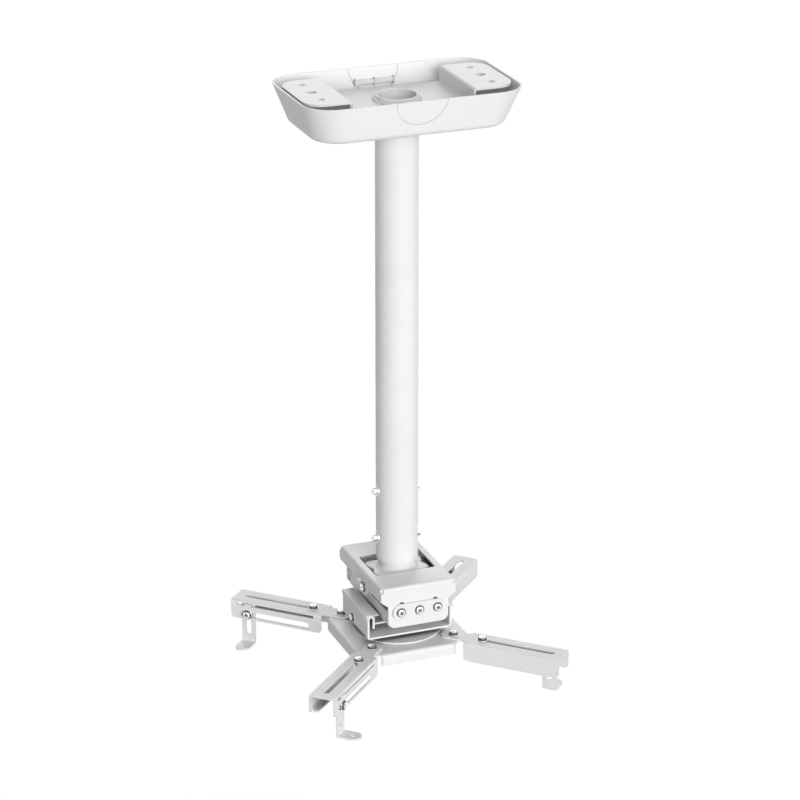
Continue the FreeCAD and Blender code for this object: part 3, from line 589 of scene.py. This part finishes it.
def lock_washer(outer, bore, low):
    """Toothed washer all in painted shade, which shows as a dark ring of painted shadow round a screw's head.
    """
    def teeth(step, angle, radius, level):
        notched = radius > bore * 1.3 and math.cos(LOCK_TEETH * angle) > 0.3
        return radius * (0.94 if notched else 1.0), level

    edge = LOCK_WASHER_EDGE
    high = low + LOCK_WASHER_THICK
    mesh = ring_of([(bore, low), (outer - edge, low), (outer, low + edge), (outer, high - edge),
                    (outer - edge, high), (bore, high)], LOCK_WASHER_SEGMENTS, teeth)
    # Every face takes the painted shade metal.
    for face in mesh.faces:
        face.material_index = 1
    return mesh


def screw_stack(head_radius, head_height, shank, length, washer_radius=0.0, nut=0.0, grip=0.0):
    """Pan screw looking along +Z from the face at 0: washers, head, shank and, below, a nut."""
    lift = WASHER_THICK if washer_radius else 0.0
    seat = lift + LOCK_WASHER_THICK
    bore = shank + SHANK_FIT
    meshes = [dome_head(head_radius, head_height, seat),
              lock_washer(head_radius + LOCK_WASHER_MARGIN, bore, lift)]
    if washer_radius:
        meshes.append(washer(washer_radius, bore, lift))
    meshes.append(thread(shank, -length, seat + SHANK_FIT))
    if nut:
        height = 1.6 * shank
        meshes.append(hexagon(nut, height, -grip - height, shank * 0.9))
    return meshes


def extruded(outline, start, end):
    """Push a closed (x, z) outline along Y, with its edges broken."""
    mesh = bmesh.new()
    face = mesh.faces.new([mesh.verts.new((x, start, z)) for x, z in outline])
    pushed = bmesh.ops.extrude_face_region(mesh, geom=[face])["geom"]
    moved = [item for item in pushed if isinstance(item, bmesh.types.BMVert)]
    bmesh.ops.translate(mesh, verts=moved, vec=(0, end - start, 0))
    bmesh.ops.recalc_face_normals(mesh, faces=mesh.faces)
    bmesh.ops.bevel(mesh, geom=list(mesh.edges), offset=SHEET_EDGE, segments=2, affect="EDGES", profile=0.5)
    return mesh


# Hardware and trim


def pole_bolts():
    """Two bolts across the pole: tall heads on saddle washers at the left, low nuts at the right."""
    for name, rise in POLE_BOLT_RISES.items():
        level = POLE_LOW.z + rise
        meshes = [saddle_washer(**POLE_WASHER), dome_head(**POLE_HEAD), thread(**POLE_THREAD)]
        piece(name, meshes, ZINC, "ceiling", Vector((-POLE_R, 0, level)), (-1, 0, 0))
        meshes = [saddle_washer(**POLE_NUT_WASHER), hexagon(**POLE_NUT)]
        piece(name + "_nut", meshes, ZINC, "ceiling", Vector((POLE_R, 0, level)), (1, 0, 0))


def roll_screws():
    """Pivot and lock screws through the clamp bars, front and back, with nuts inside the head."""
    for end, face in (("front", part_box("roll_clamp_front")[0].y), ("back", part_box("roll_clamp_back")[1].y)):
        axis = (0, math.copysign(1, face), 0)
        for side, x in (("left", -ROLL_SCREW_X), ("right", ROLL_SCREW_X)):
            piece(f"roll_screw_{end}_{side}", screw_stack(**ROLL_SCREW), ZINC, "roll_head",
                  Vector((x, face, ROLL.z)), axis, turn=ROLL_SCREW_TURNS[side])
        pin = piece(f"roll_pivot_{end}", screw_stack(**ROLL_PIVOT), ZINC, "roll_head",
                    Vector((0, face, ROLL.z)), axis, turn=ROLL_PIVOT_TURN)
        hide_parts(f"roll_pin_{end}")


def tilt_bolts():
    """Painted pivots and bright lock screws through the tilt frame's sides into the pole bracket's ears."""
    for side, way, wall in (("left", -1, FRAME_LOW.x), ("right", 1, FRAME_HIGH.x)):
        face = wall + way * TILT_SEAT
        axis = (way, 0, 0)
        meshes = [washer(**TILT_WASHER), hexagon(**TILT_HEAD), thread(**TILT_THREAD)]
        pin = piece(f"tilt_pivot_{side}", meshes, COAT, "column", Vector((face, 0, TILT.z)), axis,
                    turn=TILT_PIVOT_TURN)
        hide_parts(f"tilt_pin_{side}")
        piece(f"tilt_lock_{side}", screw_stack(**TILT_LOCK), ZINC, "column",
              Vector((face, TILT_LOCK_Y, TILT.z)), axis, turn=TILT_LOCK_TURN)


def arm_across(corner):
    """Direction across an arm, towards its foot."""
    turn = math.radians(ARM_TURNS[corner])
    return Vector((-math.sin(turn), math.cos(turn), 0))


def arm_point(corner, out, aside, level):
    """Place on an arm: out along it from its pivot, and aside towards its foot."""
    turn = math.radians(ARM_TURNS[corner])
    along = Vector((math.cos(turn), math.sin(turn), 0))
    spot = joint_place(f"swing_{corner}") + along * out + arm_across(corner) * aside
    return Vector((spot.x, spot.y, level))


def arm_lips():
    """Lip turned in along the bottom of each arm's plain wall."""
    wall = -(ARM_SIDE - ARM_SHEET)
    outer = wall - ARM_LIP_SUNK
    inner = wall + ARM_LIP
    high = ARM_LOW + ARM_SHEET
    outline = [(outer, ARM_LOW), (inner, ARM_LOW), (inner, high), (wall + ARM_LIP_FILLET, high),
               (wall, high + ARM_LIP_FILLET), (outer, high + ARM_LIP_FILLET)]
    near, far = ARM_LIP_OUT
    for corner, turn in ARM_TURNS.items():
        mesh = extruded(outline, -far, -near)
        mesh.transform(Matrix.Rotation(math.radians(90), 4, "Z"))
        piece(f"arm_lip_{corner}", [mesh], CHANNEL_DEEP_SHADE_COAT, f"{corner}_arm", arm_point(corner, 0, 0, 0),
              turn=math.radians(turn))


def arm_screws():
    """Pivot screw, slot screw and foot screw of each arm, each turned differently."""
    top = ARM_TOP + SEAT
    for index, corner in enumerate(ARM_TURNS):
        pivot = piece(f"arm_screw_{corner}", screw_stack(**ARM_PIVOT), ZINC, "hub",
                      arm_point(corner, 0, 0, top), turn=ARM_PIVOT_TURN + index)
        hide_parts(f"arm_pivot_{corner}")
        piece(f"slot_screw_{corner}", screw_stack(**SLOT_SCREW), ZINC, f"{corner}_arm",
              arm_point(corner, ARM_SCREW_OUT, 0, top), turn=SLOT_SCREW_TURN + 2 * index)
        piece(f"foot_screw_{corner}", screw_stack(**FOOT_SCREW), ZINC, f"{corner}_foot",
              arm_point(corner, FOOT_OUT, ARM_SIDE + SEAT, ARM_TOP - FOOT_SCREW_DROP),
              tuple(arm_across(corner)), turn=FOOT_SCREW_TURN * index)


def tray_screw():
    """Lock screw through the tray's left wall; its point reaches inside."""
    place = Vector((TRAY_LOW.x, TRAY_SCREW_Y, TRAY_LOW.z + TRAY_SCREW_RISE))
    piece("tray_screw", screw_stack(**TRAY_SCREW), ZINC, "roll_head", place, (-1, 0, 0),
          turn=TRAY_SCREW_TURN)


def swivel_nut():
    """Lock nut, washer and stud end under the hub."""
    low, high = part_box("swivel_pin")
    middle = (low + high) / 2
    meshes = [hexagon(**SWIVEL_NUT), washer(**SWIVEL_WASHER), thread(high=high.z - low.z, **SWIVEL_THREAD)]
    nut = piece("swivel_nut", meshes, ZINC, "roll_head", Vector((middle.x, middle.y, low.z)))
    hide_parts("swivel_pin")


def weld_bead(inner, width, height):
    """Quarter-round bead about +Z, outside a radius, laid as a row of overlapping ripples."""
    def ripple(step, angle, radius, level):
        phase = (angle * WELD_RIPPLES / math.tau + 0.5 * level / height) % 1
        swell = WELD_LOW_SHARE + (1 - WELD_LOW_SHARE) * math.sqrt(1 - (2 * phase - 1) ** 2)
        return inner + (radius - inner) * swell, level * swell

    profile = [(inner, 0.0)]
    for step in range(WELD_STEPS + 1):
        lean = math.pi / 2 * step / WELD_STEPS
        profile.append((inner + width * math.cos(lean), height * math.sin(lean)))
    return ring_of(profile, WELD_RIPPLES * RIPPLE_SEGMENTS, ripple)


def welds():
    """Painted weld beads where the poles meet their plates."""
    for node, body, inner in (("pole_weld", "ceiling", POLE_R), ("bracket_weld", "column", INNER_POLE_R)):
        low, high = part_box(node)
        bead = weld_bead(inner, (high.x - low.x) / 2 - inner, high.z - low.z)
        weld = piece(node + "_bead", [bead], COAT, body, Vector((0, 0, low.z)))
        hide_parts(node)


def rail_caps():
    """Folded strips along the tops of the tray's two rails, turned down over the outside."""
    low = TRAY_HIGH.z
    high = low + RAIL_CAP_SHEET
    skirt = low - RAIL_CAP_DROP
    rail = TRAY_HIGH.x + RAIL_CAP_SEAT
    inner = rail - RAIL_CAP_WIDTH
    outer = rail + RAIL_CAP_SHEET
    outline = [(inner, low), (rail, low), (rail, skirt), (outer, skirt), (outer, high), (inner, high)]
    for side, way in (("left", -1), ("right", 1)):
        mesh = extruded([(way * x, z) for x, z in outline], *RAIL_CAP_Y)
        piece(f"rail_cap_{side}", [mesh], COAT, "roll_head", Vector((0, 0, 0)))


def pole_saddle():
    """Raised plate on the pole bracket with waisted sides and a weld round the inner pole."""
    def outline(step, angle, radius, level):
        if step not in SADDLE_INSETS:
            return radius, level
        along, across = abs(math.cos(angle)), math.sin(angle)
        power = SADDLE_SQUARENESS
        reach = ((along / SADDLE_HALF_X) ** power + (abs(across) / SADDLE_HALF_Y) ** power) ** (-1 / power)
        if along * reach > 0.8 * SADDLE_HALF_X:
            reach *= 1 - WAIST_DEPTH * math.exp(-((across * reach - WAIST_Y) / WAIST_WIDTH) ** 2)
        return reach - SADDLE_INSETS[step], level

    high = SADDLE_HIGH
    levels = (0.0, high - 1.6 * MM, high - 0.5 * MM, high)
    profile = [(INNER_POLE_R, 0.0), *[(SADDLE_HALF_X, level) for level in levels],
               *[(INNER_POLE_R + out, high + rise) for out, rise in SADDLE_WELD]]
    mesh = ring_of(profile, SADDLE_SEGMENTS, outline)
    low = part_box("pole_bracket")[1].z + SADDLE_SEAT
    piece("pole_saddle", [mesh], COAT, "column", Vector((0, 0, low)))


# Studio


def camera():
    """Camera of the photograph: left of the front, above, with a long lens."""
    level = math.cos(CAMERA_PITCH)
    forward = Vector((math.sin(CAMERA_AZIMUTH) * level, math.cos(CAMERA_AZIMUTH) * level,
                      -math.sin(CAMERA_PITCH)))
    right = Vector((math.cos(CAMERA_AZIMUTH), -math.sin(CAMERA_AZIMUTH), 0))
    aim = right * CAMERA_ASIDE + Vector((0, 0, CAMERA_AIM_Z))
    data = bpy.data.cameras.new("camera")
    data.sensor_width = CAMERA_SENSOR
    data.lens = CAMERA_FOCAL_PX / CAMERA_IMAGE_PX * CAMERA_SENSOR
    data.clip_end = CAMERA_CLIP_END
    item = bpy.data.objects.new("camera", data)
    item.location = aim - forward * CAMERA_DISTANCE
    item.rotation_euler = forward.to_track_quat("-Z", "Y").to_euler()
    bpy.context.scene.collection.objects.link(item)
    bpy.context.scene.camera = item


def lights():
    """Broad soft distant lamps: two from the front, weak ones from the right and above, one from behind."""
    for name, source, angle, strength in LAMPS:
        data = bpy.data.lights.new(name, "SUN")
        data.angle = math.radians(angle)
        data.energy = strength
        item = bpy.data.objects.new(name, data)
        item.rotation_euler = (-Vector(source)).to_track_quat("-Z", "Y").to_euler()
        bpy.context.scene.collection.objects.link(item)


def seen_directly(tree):
    """1 for rays from the camera, a shiny surface or glass, and 0 for light that falls on the object."""
    path = tree.nodes.new("ShaderNodeLightPath")
    seen = path.outputs["Is Camera Ray"]
    for kind in ("Is Glossy Ray", "Is Transmission Ray"):
        either = tree.nodes.new("ShaderNodeMath")
        either.operation = "MAXIMUM"
        tree.links.new(seen, either.inputs[0])
        tree.links.new(path.outputs[kind], either.inputs[1])
        seen = either.outputs[0]
    return seen


def world():
    """Even white surroundings: white where seen, and soft fill light elsewhere."""
    item = bpy.data.worlds.new("studio")
    bpy.context.scene.world = item
    item.use_nodes = True
    tree = item.node_tree
    back = tree.nodes["Background"]
    back.inputs["Color"].default_value = (1, 1, 1, 1)
    strength = tree.nodes.new("ShaderNodeMix")
    strength.inputs["A"].default_value = WORLD_FILL
    strength.inputs["B"].default_value = WORLD_SEEN
    tree.links.new(seen_directly(tree), strength.inputs["Factor"])
    tree.links.new(strength.outputs["Result"], back.inputs["Strength"])


def floor():
    """Pale floor well below the feet, which takes a soft shadow and is lifted to white where seen."""
    mesh = bmesh.new()
    bmesh.ops.create_grid(mesh, x_segments=2, y_segments=2, size=FLOOR_HALF)
    data = bpy.data.meshes.new("floor")
    mesh.to_mesh(data)
    mesh.free()
    item = bpy.data.objects.new("floor", data)
    item.location.z = CAD_BOX[0][2] - FLOOR_DROP
    bpy.context.scene.collection.objects.link(item)
    n = Nodes("floor")
    n.feed(Base_Color=n.mix(n.noise(3, 4, 0.5, n.place()), *FLOOR_GREYS))
    n.shader.inputs["Roughness"].default_value = 0.9
    n.shader.inputs["Specular IOR Level"].default_value = 0.1
    lift = n.add("ShaderNodeMath", {0: seen_directly(n.tree), 1: FLOOR_LIFT}, operation="MULTIPLY")
    glow = n.add("ShaderNodeEmission", {"Color": (1, 1, 1, 1), "Strength": lift.outputs[0]})
    both = n.add("ShaderNodeAddShader", {0: n.shader.outputs[0], 1: glow.outputs[0]})
    n.link(both.outputs[0], n.output.inputs["Surface"])
    data.materials.append(n.material)


dress_nodes()
pole_bolts()
roll_screws()
tilt_bolts()
arm_lips()
arm_screws()
tray_screw()
swivel_nut()
welds()
rail_caps()
pole_saddle()
camera()
world()
floor()
lights()
bpy.context.scene.view_settings.view_transform = "Standard"
